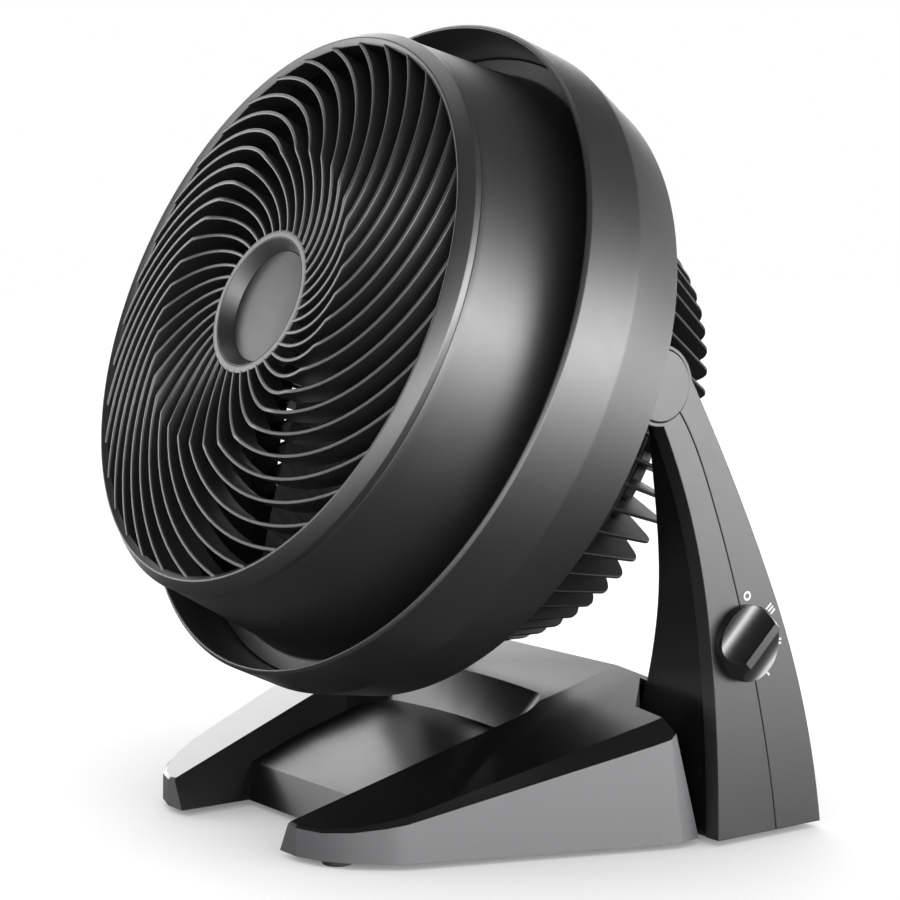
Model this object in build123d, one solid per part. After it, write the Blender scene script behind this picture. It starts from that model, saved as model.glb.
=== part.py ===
from build123d import *
import math
import os

# Air circulator fan: a tilting ducted head on a two-armed base.
# Millimetres. +X is the object's right-hand side as seen from the front, -Y is the front, +Z is up.
# The origin is on the floor under the middle of the object's bounding box.
# Head pieces are modelled upright on their own axis (heights run forward from the head's datum
# plane, where the trough floor lies) and are then tilted into place by in_head().

# ---- tilt axis and head placement ----
tilt_at_rest = 22.0             # degrees that the head looks up
pivot_y = 33.3
pivot_above_head_axis = 11.5
pivot_behind_datum = 40.4
pivot_above_ring = 55.6         # height of the pivot above the ring's crease radius

# ---- head: grille, barrel, duct ring ----
rim_inner_radius = 147.8        # the radii of the barrel, the ring and the rear grille follow this one
rim_crest_radius = rim_inner_radius + 3.5
rim_crest_height = 91.0
rim_crease_drop = 2.8           # from the rim's crest to its inner edge
rim_outer_radius = rim_inner_radius + 9.1
rim_outer_height = 83.9
rim_spigot_depth = 8.0
vane_count = 37
vane_thickness = 2.2
vane_depth = 15.0
vane_crest_radius = 82.0
vane_crest_height = 103.5
vane_lead = 0.58                # degrees that a vane turns for each mm outward from the hub
vane_lead_gain = 0.00086        # what that turn grows by for each mm outward
vane_first_angle = 3.1          # degrees between the head's top and the first vane's root
vane_root_bow = (62.0, 98.2)    # radius and height that the front edges pass through inside the crest
vane_tip_bow = (rim_inner_radius - 29.8, 96.7)      # and outside it
vane_end_drop = 2.2             # from the rim's crest to the vanes' outer ends
hub_radius = 40.1
hub_height = 95.3
hub_recess_radius = 36.1
hub_recess_floor = 85.3
hub_floor_thickness = 2.5
bezel_lower_radius = 31.1
badge_thickness = 3.0
barrel_front_height = 80.0
barrel_middle_radius = rim_outer_radius + 4.7
barrel_middle_height = 45.0
barrel_rear_radius = rim_outer_radius + 11.3
barrel_wall = 3.0
trough_floor_thickness = 3.0
trough_outer_radius = barrel_rear_radius + 10.1
lip_inner_radius = trough_outer_radius + 4.0
lip_height = 35.6
lip_outer_radius = trough_outer_radius + 6.7
lip_outer_height = 33.0
ring_crease_radius = trough_outer_radius + 8.2
ring_crease_height = 1.5
ring_rear_radius = ring_crease_radius - 8.5
ring_rear_depth = 34.0
ring_wall = 2.6
ring_inner_bend_height = 22.0
web_root = 2.2                  # the flange runs on this far outside the trough
web_flange_inner_radius = trough_outer_radius - 5.9
web_flange_thickness = 2.6
web_screw_circle = trough_outer_radius - 3.3
web_screw_count = 8
pivot_z = ring_crease_radius + pivot_above_ring

# ---- head: rear grille ----
fin_count = 62
fin_thickness = 2.0
fin_depth = 20.0
fin_front_depth = 26.0
fin_mouth_depth = 34.0
fin_mouth_radius = web_flange_inner_radius - 19.7
fin_waist_depth = 80.0
fin_waist_radius = fin_mouth_radius - 15.7
fin_rear_radius = fin_mouth_radius - 29.7
fin_rear_depth = 118.0
fin_corner_radius = 12.0
fin_first_angle = 90.0          # degrees between the head's right and the first fin, at the top
side_hoop_depth = 66.0
side_hoop_radius = fin_waist_radius + 3.0
rear_hoop_radius = 90.0
rear_hoop_depth = 7.0
hoop_width = 4.0
motor_cup_radius = 52.0
motor_cup_wall = 2.4
motor_cup_front_depth = 62.0
motor_cup_floor_depth = 90.0
motor_cap_depth = 113.0
motor_cap_thickness = 2.6
motor_cap_ledge = 2.2
throat_wall = 2.5
throat_lip = 0.5                # the throat stands this far outside the fins
throat_neck_flare = 0.9
throat_neck_depth = 17.0
throat_mouth_radius = fin_mouth_radius + 12.8
throat_flange_radius = web_flange_inner_radius - 0.6
grille_screw_circle = throat_mouth_radius + 3.4
grille_screw_count = 6
boss_radius = 16.0

# ---- motor ----
motor_radius = 46.0
motor_wall = 2.0
motor_split_depth = 59.0
motor_front_depth = 24.0
stator_bore_radius = 25.0
stator_front_depth = 44.0
stator_rear_depth = 74.0
winding_length = 8.0
winding_thickness = 14.0
motor_screw_circle = 36.0
motor_screw_count = 4
motor_screw_bite = 6.0
shaft_radius = 4.0
shaft_front_height = 66.0
bearing_radius = 9.0
bearing_length = 6.0
bearing_seat_wall = 2.0
rotor_air_gap = 0.5
running_clearance = 0.05

# ---- propeller ----
blade_count = 3
blade_tip_radius = rim_inner_radius - 9.8
propeller_hub_radius = 29.0
propeller_front_height = 56.0
propeller_rear_height = 6.0
propeller_wall = 3.0
blade_thickness = 3.2
blade_edge = 1.0
blade_root_chord = 50.0
blade_root_pitch = 58.0
blade_tip_chord = 80.0
blade_tip_pitch = 28.0
first_blade_angle = 290.0       # degrees between the head's right and the middle of the first blade
spinner_radius = 11.0
spinner_length = 9.0

# ---- arms ----
arm_head_inner_x = fin_mouth_radius + 2.1
core_outer_x = arm_head_inner_x + 5.2
arm_outer_x = core_outer_x + 10.0
cover_screw_tip_x = arm_outer_x - 3.7
screw_well_seat_x = core_outer_x - 10.0
cover_lip = 1.5
arm_wall = 2.6
arm_head_radius = 20.8
boss_inner_x = arm_head_inner_x - 14.8
pin_radius = 6.0
pin_inner_x = arm_head_inner_x - 12.8
nut_height = 4.4
nut_radius = 11.5
nut_well_radius = 15.0
bushing_radius = 9.5
bushing_flange_radius = 12.5
washer_thickness = 1.2
nut_inner_x = core_outer_x + 2 * washer_thickness
cap_radius = 18.4
cap_seat_depth = 2.5
cap_crown = 0.8
seam_gap = 0.4

# ---- speed knob and switch ----
knob_y = pivot_y + 58.0
knob_z = pivot_z - 135.8
knob_radius = 20.0
knob_skirt = 5.0
knob_reach = 14.3
knob_crown_radius = 14.0
knob_gap = 0.5
knob_scoop_radius = 14.0        # the two scoops beside the grip
knob_scoop_step = 15.6
knob_scoop_height = 18.8
knob_hollow_radius = 9.0
knob_floor_x = arm_outer_x + knob_gap + 3.6
knob_grip_depth = 9.0
knob_rest_angle = 43.0          # degrees from +Y towards +Z: where the pointer stands at rest
switch_shaft_radius = 3.0
switch_bushing_radius = 4.75
switch_bushing_reach = 3.4
switch_nut_radius = 7.5
switch_nut_height = 2.2
switch_size = 28.0
switch_body_depth = 20.0
mark_radius = 24.3
mark_height = 5.0
mark_angles = (85.0, -46.0, -4.0, 40.0)     # for O, I, II and III
mark_line = 1.1
mark_pitch = 2.1
mark_relief = 0.25

# ---- base ----
floor_clearance = 3.4           # height of the base's lower edge
foot_radius = 8.0
base_wall = 2.6
plate_thickness = 2.4
plate_top = floor_clearance + plate_thickness
fit_gap = 0.3
crest_height_at_middle = 57.8   # height of the base's top, on the line y = 0
crest_rise = 0.322              # rise of the top for each mm towards the rear
crest_x_at_middle = 73.0
crest_flare = 0.144
roof_fall = 0.125               # fall of the top for each mm outward from the crest
roof_bevel = 5.5                # height of the bevel over the skirt, on the line y = 0
bevel_growth = 0.04             # and how much it grows for each mm towards the rear
skirt_draft = 0.04              # how much the skirt leans inward for each mm of height
skirt_facets = 14
base_rear_top_y = 77.5
base_rear_foot_y = 106.0
opening_half_width = 48.5
opening_back_y = 4.3
opening_draft = 0.51
opening_corner_radius = 21.0
opening_back_bow = 5.0
tray_front_y = -76.3
tray_front_draft = 0.42
screw_radius = 1.6
screw_head_radius = 3.2
screw_head_height = 2.4
screw_clearance = 0.2
screw_reach = 12.0
boss_wall = 2.6
bridge_y = (86.0, 104.0)        # where the base plate passes into the arms
bridge_x = (arm_head_inner_x - 64.8, arm_head_inner_x - 48.8)
notch_height = 12.0
lead_radius = 2.5
gland_x = 30.0
gland_height = 22.0
gland_radius = 6.0
gland_flange_radius = 9.0
gland_flange_thickness = 2.0
gland_bore_radius = 3.4
gland_reach = 8.0
tray_half_width = 112.0

# Plan of the right-hand skirt at the floor, from the leg's tip to the arm.
skirt_outline = ((49.0, -117.5), (84.7, -110.0), (108.8, -85.5), (125.0, -55.7),
                 (arm_outer_x - 22.0, 13.0), (arm_outer_x - 4.5, 68.0))
skirt_end = ((arm_outer_x - 8.4, 56.0), (arm_outer_x - 11.0, 72.0))     # where it turns in towards the arm
recess_front_y = 72.5           # the recess in front of the arm, where it meets the floor
recess_lean = 0.25              # how far it comes forward for each mm of height
recess_rear_y = 76.0
recess_corners = ((arm_head_inner_x - 24.8, 52.0), (arm_head_inner_x - 42.8, 70.0))
tray_floor = ((-66.9, 22.2), (-33.5, 32.5), (-3.5, 39.5), (27.5, 47.5), (60.0, 57.0))

# Arm outlines, as (y, z) steps from the tilt axis. They end just below the floor.
arm_foot_step = -2.9 - pivot_z
arm_front_edge = ((-2.4, -12.0), (21.4, -69.2), (33.3, -120.8), (42.0, arm_foot_step))
arm_rear_edge = ((116.5, arm_foot_step), (101.1, -169.6), (80.2, -112.9), (19.7, 3.9))
arm_seam = ((0.0, 0.0), (12.3, -13.4), (34.0, -56.1), (54.4, -114.1), (74.2, -188.1), (84.2, arm_foot_step))
# Inner side of the arm, as (x, z step from the tilt axis).
arm_inner_edge = ((arm_head_inner_x, -24.0), (arm_head_inner_x - 12.3, -62.0),
                  (arm_head_inner_x - 25.3, -118.0), (arm_head_inner_x - 44.8, -175.0),
                  (arm_head_inner_x - 55.8, -200.0))
cover_screw_steps = ((40.5, -98.0), (55.0, -170.0), (56.0, -84.0), (92.0, -200.0))
base_screw_places = ((66.0, -80.0), (110.0, -30.0), (arm_head_inner_x - 42.8, 50.0), (60.0, 88.0))
arm_screw_places = ((arm_head_inner_x - 24.8, 82.5), (arm_head_inner_x - 24.8, 140.0))
foot_places = ((78.0, -100.5), (arm_head_inner_x - 29.8, 118.0))
base_reach = 400.0              # longer than the object, for cutting shapes
capacitor_box = ((-52.0, -12.0), (52.0, 74.0), (0.0, 18.0))
terminal_box = ((14.0, 44.0), (60.0, 76.0), (0.0, 13.0))

# ---- shared helpers ----
head_upright = Pos(0, -pivot_above_head_axis, pivot_behind_datum)
head_place = Pos(0, pivot_y, pivot_z) * Rot(90 - tilt_at_rest, 0, 0) * head_upright


def in_head(shape):
    """Moves a piece, or a list of pieces, from the head's own frame into the object's frame at rest."""
    return [head_place * item for item in shape] if isinstance(shape, list) else head_place * shape


def turned(corners):
    """Solid of revolution about Z through (radius, height) corners."""
    return revolve(make_face(Polyline(*[(r, 0, z) for r, z in corners], close=True)), Axis.Z)


def disc(radius, low, high, x=0.0, y=0.0):
    """Round bar along Z."""
    return Pos(x, y, low) * Cylinder(radius, high - low, align=(Align.CENTER, Align.CENTER, Align.MIN))


def tube(outer, inner, low, high, x=0.0, y=0.0):
    """Round tube along Z."""
    return disc(outer, low, high, x, y) - disc(inner, low - 1, high + 1, x, y)


def bar_x(radius, x_from, x_to, y, z):
    """Round bar along X."""
    place = Pos(x_from, y, z) * Rot(0, 90, 0)
    return place * Cylinder(radius, x_to - x_from, align=(Align.CENTER, Align.CENTER, Align.MIN))


def slab_x(face, x_from, x_to):
    """Prism along X from a face drawn in the (y, z) plane at x = 0."""
    return Pos(x_from, 0, 0) * extrude(face, amount=x_to - x_from, dir=(1, 0, 0))


def block(x, y, z):
    """Box from three (low, high) pairs."""
    size = [high - low for low, high in (x, y, z)]
    return Pos(x[0], y[0], z[0]) * Box(*size, align=(Align.MIN, Align.MIN, Align.MIN))


def mirrored(shape):
    """The same piece, or list of pieces, on the object's left-hand side."""
    return [mirrored(item) for item in shape] if isinstance(shape, list) else mirror(shape, about=Plane.YZ)


def around(shape, count, first=0.0):
    """Copies of a piece turned evenly about Z."""
    return [Rot(0, 0, first + i * 360 / count) * shape for i in range(count)]


def save(name, shape):
    """Writes one node."""
    pieces = shape if isinstance(shape, list) else [shape]
    solids = [solid for piece in pieces for solid in piece.solids()]
    export_step(Compound(children=solids) if len(solids) > 1 else solids[0], f"parts/{name}.step")


def save_pair(name, shape):
    """Writes the right-hand piece and its mirror image."""
    save(f"{name}_right", shape)
    save(f"{name}_left", mirrored(shape))


# ---- head: front grille ----
def vane_edge(side):
    """Plan curve of one face of a vane; side is +1 or -1."""
    points = []
    halfway = (vane_crest_radius + rim_inner_radius) / 2
    stations = (hub_radius - 2.0, vane_root_bow[0], vane_crest_radius, halfway, rim_inner_radius + 2.0)
    for radius in stations:
        out = radius - hub_radius
        turn = math.radians(vane_lead * out + vane_lead_gain * out**2)
        slope = math.radians(vane_lead + 2 * vane_lead_gain * out) * radius
        outward = Vector(-math.sin(turn), math.cos(turn), 0)
        sideways = Vector(outward.Y, -outward.X, 0)
        normal = (outward * slope + sideways).normalized()
        points.append(outward * radius + normal * (side * vane_thickness / 2))
    return points


def vane_side(points):
    """Two arcs that meet at the crest circle."""
    return [ThreePointArc(*points[:3]), ThreePointArc(*points[2:])]


def vane_envelope():
    """Dished band of revolution that all vanes lie in, proud at its crest circle."""
    hub_front = (hub_radius - 3.0, 0, hub_height)
    crest = (vane_crest_radius, 0, vane_crest_height)
    rim_front = (rim_inner_radius + 3.0, 0, rim_crest_height - vane_end_drop)
    hub_arc = ThreePointArc(hub_front, (vane_root_bow[0], 0, vane_root_bow[1]), crest)
    rim_arc = ThreePointArc(crest, (vane_tip_bow[0], 0, vane_tip_bow[1]), rim_front)
    drop = Pos(0, 0, -vane_depth)
    sides = [Line(point, Vector(*point) - Vector(0, 0, vane_depth)) for point in (hub_front, rim_front)]
    return revolve(make_face([hub_arc, rim_arc, drop * hub_arc, drop * rim_arc] + sides), Axis.Z)


def front_grille():
    """Spiral vanes between the hub cup and the rim ring."""
    near, far = vane_edge(1), vane_edge(-1)
    ends = [Line(near[0], far[0]), Line(near[-1], far[-1])]
    plan = make_face(vane_side(near) + vane_side(far) + ends)
    low = rim_crest_height - 2 * vane_depth
    vane = Pos(0, 0, low) * extrude(plan, amount=vane_crest_height - low + 1)
    vane &= vane_envelope()
    rim_low = barrel_front_height - rim_spigot_depth / 2
    spigot_radius = rim_outer_radius - barrel_wall - fit_gap
    rim = turned([(rim_inner_radius, rim_low), (rim_inner_radius, rim_crest_height - rim_crease_drop),
                  (rim_crest_radius, rim_crest_height), (rim_outer_radius, rim_outer_height),
                  (rim_outer_radius, barrel_front_height), (spigot_radius, barrel_front_height),
                  (spigot_radius, rim_low)])
    hub = disc(hub_radius, hub_recess_floor - hub_floor_thickness, hub_height)
    hub -= disc(hub_recess_radius, hub_recess_floor, hub_height + 1)
    return rim.fuse(hub, *around(vane, vane_count, vane_first_angle))


def hub_bezel():
    """Conical ring inside the hub cup."""
    return turned([(bezel_lower_radius, hub_recess_floor), (hub_recess_radius, hub_recess_floor),
                   (hub_recess_radius, hub_height), (hub_recess_radius - 0.3, hub_height),
                   (bezel_lower_radius, hub_recess_floor + badge_thickness)])


def badge_disc():
    """Plain disc at the bottom of the bezel."""
    return disc(bezel_lower_radius, hub_recess_floor, hub_recess_floor + badge_thickness)


# ---- head: barrel and outer ring ----
def screw_holes(circle, count, low, high):
    """Holes on a circle about the head's axis."""
    return around(disc(screw_radius + screw_clearance, low, high, x=circle), count, 180 / count)


def ring_of_screws(circle, count, seat, tip):
    """Pan-head screws on a circle, put in from behind."""
    screw = disc(screw_head_radius, seat - screw_head_height, seat, x=circle)
    screw += disc(screw_radius, seat, tip, x=circle)
    return around(screw, count, 180 / count)


def barrel_side(inward):
    """Curve of the barrel's side, moved inward by a wall."""
    ends = ((rim_outer_radius, barrel_front_height), (barrel_rear_radius, 0))
    middle = (barrel_middle_radius - inward, 0, barrel_middle_height)
    front, rear = [(radius - inward, 0, height) for radius, height in ends]
    return ThreePointArc(front, middle, rear)


def front_barrel():
    """Barrel with the trough floor round its rear."""
    outer, inner = barrel_side(0), barrel_side(barrel_wall)
    wall = revolve(make_face([outer, inner, Line(outer @ 0, inner @ 0), Line(outer @ 1, inner @ 1)]), Axis.Z)
    floor = tube(trough_outer_radius - fit_gap, barrel_rear_radius - barrel_wall, 0, trough_floor_thickness)
    bite = screw_bite_height()
    holes = screw_holes(web_screw_circle, web_screw_count, -1, bite)
    holes += screw_holes(grille_screw_circle, grille_screw_count, -1, bite)
    return (wall + floor).cut(*holes)


def screw_bite_height():
    """Height that the screws reach in the trough floor."""
    return trough_floor_thickness - 0.8


def outer_ring():
    """Double-walled ring round the trough, with the flange that the trough floor is screwed to."""
    web_outer = trough_outer_radius + web_root
    lip = turned([(lip_inner_radius, lip_height), (lip_outer_radius, lip_outer_height),
                  (ring_crease_radius, ring_crease_height), (ring_rear_radius, -ring_rear_depth),
                  (ring_rear_radius - ring_wall, -ring_rear_depth),
                  (ring_crease_radius - ring_wall, ring_crease_height),
                  (lip_inner_radius + 0.6, ring_inner_bend_height),
                  (web_outer, 0.0), (trough_outer_radius, 0.0)])
    flange = tube(web_outer, web_flange_inner_radius, -web_flange_thickness, 0)
    return (lip + flange).cut(*screw_holes(web_screw_circle, web_screw_count, -10, 1))


# ---- head: rear grille ----
def fin():
    """One fin, in the plane y = 0."""
    outer = [(fin_mouth_radius, -fin_front_depth), (fin_mouth_radius, -fin_mouth_depth),
             (fin_waist_radius, -fin_waist_depth), (fin_rear_radius, -fin_rear_depth)]
    root = motor_cup_radius - motor_cup_wall / 2
    rear = [(root, -fin_rear_depth), (root, fin_depth - fin_rear_depth)]
    inner = [(radius - fin_depth, height) for radius, height in reversed(outer[:3])]
    heel = (fin_rear_radius - fin_depth, fin_depth - fin_rear_depth)
    corners = outer + rear + [heel] + inner
    outline = make_face(Polyline(*[(radius, 0, height) for radius, height in corners], close=True))
    knee = [v for v in outline.vertices() if abs(v.X - fin_rear_radius) < 0.01]
    outline = fillet(knee, fin_corner_radius)
    return extrude(outline, amount=fin_thickness / 2, dir=(0, 1, 0), both=True)


def throat():
    """Flared ring that carries the fins and is screwed behind the barrel."""
    rim = fin_mouth_radius + throat_lip
    neck = rim + throat_neck_flare
    return turned([(rim - throat_wall, -fin_mouth_depth), (rim, -fin_mouth_depth), (neck, -throat_neck_depth),
                   (throat_mouth_radius, -web_flange_thickness), (throat_flange_radius, -web_flange_thickness),
                   (throat_flange_radius, 0), (throat_mouth_radius - 1.1, 0),
                   (neck - throat_wall, 1 - throat_neck_depth)])


def motor_cup():
    """Cup at the middle of the rear grille that the motor is screwed into."""
    inner = motor_cup_radius - motor_cup_wall
    wall = tube(motor_cup_radius, inner, 1 - fin_rear_depth, -motor_cup_front_depth)
    floor = disc(motor_cup_radius - 1, -motor_cup_floor_depth - motor_cup_wall, -motor_cup_floor_depth)
    ledge = tube(motor_cup_radius - 1, inner - motor_cap_ledge, -motor_cap_depth, 2 - motor_cap_depth)
    return wall + floor + ledge


def pivot_boss():
    """Boss on the right of the throat that holds the pivot pin."""
    face_x = arm_head_inner_x - fit_gap
    return bar_x(boss_radius, boss_inner_x, face_x, pivot_above_head_axis, -pivot_behind_datum)


def rear_grille():
    """Radial fins between the throat and the motor cup, with two hoops and the pivot bosses."""
    rear_hoop = tube(rear_hoop_radius, rear_hoop_radius - hoop_width, 1 - fin_rear_depth,
                     1 + rear_hoop_depth - fin_rear_depth)
    side_hoop = tube(side_hoop_radius, side_hoop_radius - hoop_width, -side_hoop_depth - hoop_width / 2,
                     hoop_width / 2 - side_hoop_depth)
    bore = bar_x(pin_radius, pin_inner_x, arm_head_inner_x, pivot_above_head_axis, -pivot_behind_datum)
    fins = around(fin(), fin_count, fin_first_angle)
    body = throat().fuse(motor_cup(), rear_hoop, side_hoop, pivot_boss(), mirrored(pivot_boss()), *fins)
    holes = screw_holes(grille_screw_circle, grille_screw_count, -10, 1)
    low = -motor_cup_floor_depth - motor_cup_wall - 1
    holes += screw_holes(motor_screw_circle, motor_screw_count, low, 1 - motor_cup_floor_depth)
    return body.cut(bore, mirrored(bore), *holes)


def motor_cap():
    """Lightly raised cap that closes the motor cup from behind and sits on the cup's ledge."""
    edge = motor_cup_radius - motor_cup_wall - fit_gap
    low = -motor_cap_depth - motor_cap_thickness
    return turned([(0, -motor_cap_depth), (0, low - 1.6), (0.8 * edge, low - 1.2), (edge, low),
                   (edge, -motor_cap_depth)])


# ---- motor ----
def motor_rear_shell():
    """Cup-shaped rear half of the motor case, with the rear bearing's seat."""
    rear = -motor_cup_floor_depth
    wall = rear + motor_wall
    seat = wall + bearing_seat_wall
    shell = turned([(0, rear), (motor_radius, rear), (motor_radius, -motor_split_depth),
                    (motor_radius - motor_wall, -motor_split_depth), (motor_radius - motor_wall, wall),
                    (bearing_radius + bearing_seat_wall, wall),
                    (bearing_radius + bearing_seat_wall, seat + bearing_length),
                    (bearing_radius, seat + bearing_length), (bearing_radius, seat),
                    (bearing_radius - bearing_seat_wall, seat), (bearing_radius - bearing_seat_wall, wall),
                    (0, wall)])
    lug = disc(screw_radius + boss_wall, rear, rear + motor_screw_bite + 1, x=motor_screw_circle)
    shell = shell.fuse(*around(lug, motor_screw_count, 180 / motor_screw_count))
    return shell.cut(*screw_holes(motor_screw_circle, motor_screw_count, rear - 1, rear + motor_screw_bite))


def motor_front_shell():
    """Front half of the motor case, with the front bearing's seat."""
    front = -motor_front_depth
    wall = front - motor_wall
    return turned([(motor_radius - motor_wall, -motor_split_depth), (motor_radius, -motor_split_depth),
                   (motor_radius, front), (shaft_radius + 1.5, front), (shaft_radius + 1.5, wall),
                   (bearing_radius, wall), (bearing_radius, wall - bearing_length - 1),
                   (bearing_radius + bearing_seat_wall, wall - bearing_length - 1),
                   (bearing_radius + bearing_seat_wall, wall), (motor_radius - motor_wall, wall)])


def motor_bearings():
    """Plain bearings that the shaft runs in."""
    bore = shaft_radius + running_clearance
    rear = -motor_cup_floor_depth + motor_wall + bearing_seat_wall
    front = -motor_front_depth - motor_wall
    return [tube(bearing_radius, bore, rear, rear + bearing_length),
            tube(bearing_radius, bore, front - bearing_length, front)]


def stator_core():
    """Laminated ring pressed into the motor case."""
    return tube(motor_radius - motor_wall, stator_bore_radius, -stator_rear_depth, -stator_front_depth)


def stator_windings():
    """Wound rings at both ends of the stator."""
    inner = stator_bore_radius + 2.0
    outer = inner + winding_thickness
    return [tube(outer, inner, -stator_front_depth, winding_length - stator_front_depth),
            tube(outer, inner, -stator_rear_depth - winding_length, -stator_rear_depth)]


def rotor_core():
    """Rotor pressed onto the shaft."""
    return tube(stator_bore_radius - rotor_air_gap, shaft_radius, -stator_rear_depth, -stator_front_depth)


def motor_shaft():
    """Shaft from the rear bearing to the propeller's nut."""
    return disc(shaft_radius, 0.5 - motor_cup_floor_depth + motor_wall, shaft_front_height)


# ---- propeller ----
def blade():
    """One blade, pointing along +X; its leading edge is the front one."""
    middle = (propeller_front_height + propeller_rear_height) / 2
    sections = []
    for share in (0.0, 0.5, 1.0):
        radius = propeller_hub_radius - 2 + share * (blade_tip_radius + 8 - propeller_hub_radius)
        pitch = math.radians(blade_root_pitch + share * (blade_tip_pitch - blade_root_pitch))
        chord = blade_root_chord + share * (blade_tip_chord - blade_root_chord)
        plane = Plane((radius, 0, middle), x_dir=(0, -math.cos(pitch), math.sin(pitch)), z_dir=(1, 0, 0))
        sections.append(plane * blade_section(chord / 2, blade_thickness / 2))
    whole = loft(sections) & disc(blade_tip_radius, propeller_rear_height, propeller_front_height)
    return whole - hub_hollow()


def blade_section(half, bulge):
    """Lens with blunt ends."""
    end = blade_edge / 2
    upper = ThreePointArc((-half, end), (0, bulge), (half, end))
    lower = ThreePointArc((-half, -end), (0, -bulge), (half, -end))
    return make_face([upper, lower, Line((half, end), (half, -end)), Line((-half, end), (-half, -end))])


def propeller():
    """Three deep blades on a hub that is open at the rear."""
    hub = disc(propeller_hub_radius, propeller_rear_height, propeller_front_height)
    hub -= disc(propeller_hub_radius - propeller_wall, propeller_rear_height - 1,
                propeller_front_height - propeller_wall)
    boss = disc(shaft_radius + 2 * propeller_wall, propeller_rear_height, propeller_front_height)
    body = hub.fuse(boss, *around(blade(), blade_count, first_blade_angle))
    return body - disc(shaft_radius, propeller_rear_height - 1, propeller_front_height + 1)


def hub_hollow():
    """Space inside the propeller's hub."""
    return disc(propeller_hub_radius - propeller_wall, propeller_rear_height - 1, propeller_front_height + 1)


def spinner_nut():
    """Domed nut that holds the propeller on its shaft."""
    nut = disc(spinner_radius, propeller_front_height, propeller_front_height + spinner_length)
    nut = fillet(nut.edges().sort_by(Axis.Z)[-1], 2.5)
    return nut - disc(shaft_radius, propeller_front_height - 1, propeller_front_height + spinner_length + 1)


# ---- arms ----
def from_axis(steps):
    """Points in the (y, z) plane from steps measured from the tilt axis."""
    return [(0, pivot_y + dy, pivot_z + dz) for dy, dz in steps]


def smooth_edge(steps):
    """Two tangent arcs along the first, second, third and last of the points."""
    first, second, third, last = from_axis(steps)
    start = ThreePointArc(first, second, third)
    return [start, TangentArc(third, last, tangent=start % 1)]


def arm_leg(margin, x_from, x_to):
    """Prism of the arm's side view below its head, grown by a margin."""
    front, rear = smooth_edge(arm_front_edge), smooth_edge(arm_rear_edge)
    ends = [Line(front[0] @ 0, rear[1] @ 1), Line(front[1] @ 1, rear[0] @ 0)]
    outline = make_face(front + rear + ends)
    if margin:
        outline = offset(outline, margin)
    leg = slab_x(outline, x_from, x_to)
    return leg - block((x_from - 1, x_to + 1), (-base_reach, base_reach), (-base_reach, floor_clearance))


def arm_side(margin, x_from, x_to):
    """Prism of the arm's whole side view, grown by a margin."""
    return arm_leg(margin, x_from, x_to) + bar_x(arm_head_radius + margin, x_from, x_to, pivot_y, pivot_z)


def arm_front_view(margin):
    """Prism of the arm's front view; a margin moves its inner side towards the middle."""
    curve = Spline(*[(x - margin, 0, pivot_z + dz) for x, dz in arm_inner_edge])
    foot_x, head_x = arm_inner_edge[-1][0] - margin, arm_head_inner_x - margin
    top, far = pivot_z + 2 * arm_head_radius, arm_outer_x + 20
    rest = Polyline(curve @ 1, (foot_x, 0, -20), (far, 0, -20), (far, 0, top), (head_x, 0, top), curve @ 0)
    return extrude(make_face([curve] + list(rest.edges())), amount=base_reach, dir=(0, 1, 0))


def arm_form(margin):
    """Outer form of the arm with both shells, grown by a margin."""
    return arm_side(margin, arm_inner_edge[-1][0] - 10, arm_outer_x + 10) & arm_front_view(margin)


def arm_cavity(margin):
    """Hollow of the arm's core, made smaller by a margin."""
    inset = cover_lip + arm_wall + margin
    hollow = arm_leg(-inset, arm_inner_edge[-1][0], core_outer_x + 1) & arm_front_view(-arm_wall - margin)
    hub = bar_x(bushing_flange_radius + arm_wall, arm_inner_edge[-1][0], arm_outer_x, pivot_y, pivot_z)
    return hollow - hub


def cover_screw_bars(radius, x_from, x_to):
    """Round bars along X at the four cover screws."""
    return [bar_x(radius, x_from, x_to, y, z) for _, y, z in from_axis(cover_screw_steps)]


def bridge(margin):
    """Passage for the base plate and the wiring between the base and the arm."""
    return block((bridge_x[0] - margin, bridge_x[1] + margin), (bridge_y[0] - margin, bridge_y[1] + margin),
                 (0, notch_height if margin else floor_clearance + plate_thickness))


def arm_core():
    """Inner shell of the right arm, open towards the covers."""
    solid = arm_side(-cover_lip, arm_inner_edge[-1][0] - 1, core_outer_x) & arm_front_view(0)
    inner_x = arm_inner_edge[-1][0] - 9
    posts = Part() + cover_screw_bars(screw_head_radius + screw_clearance + 2, inner_x, core_outer_x)
    for x, y in arm_screw_places:
        posts += disc(screw_radius + boss_wall, plate_top, plate_top + screw_reach + 2, x, y)
    core = (solid - arm_cavity(0)) + (posts & solid)
    holes = cover_screw_bars(screw_head_radius + 2 * screw_clearance, inner_x, screw_well_seat_x)
    holes += cover_screw_bars(screw_radius + screw_clearance, inner_x, core_outer_x + 1)
    holes += post_holes(arm_screw_places)
    bushing_hole = bar_x(bushing_radius, arm_head_inner_x - 1, core_outer_x + 1, pivot_y, pivot_z)
    return core.cut(bushing_hole, bridge(fit_gap), *holes)


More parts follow.
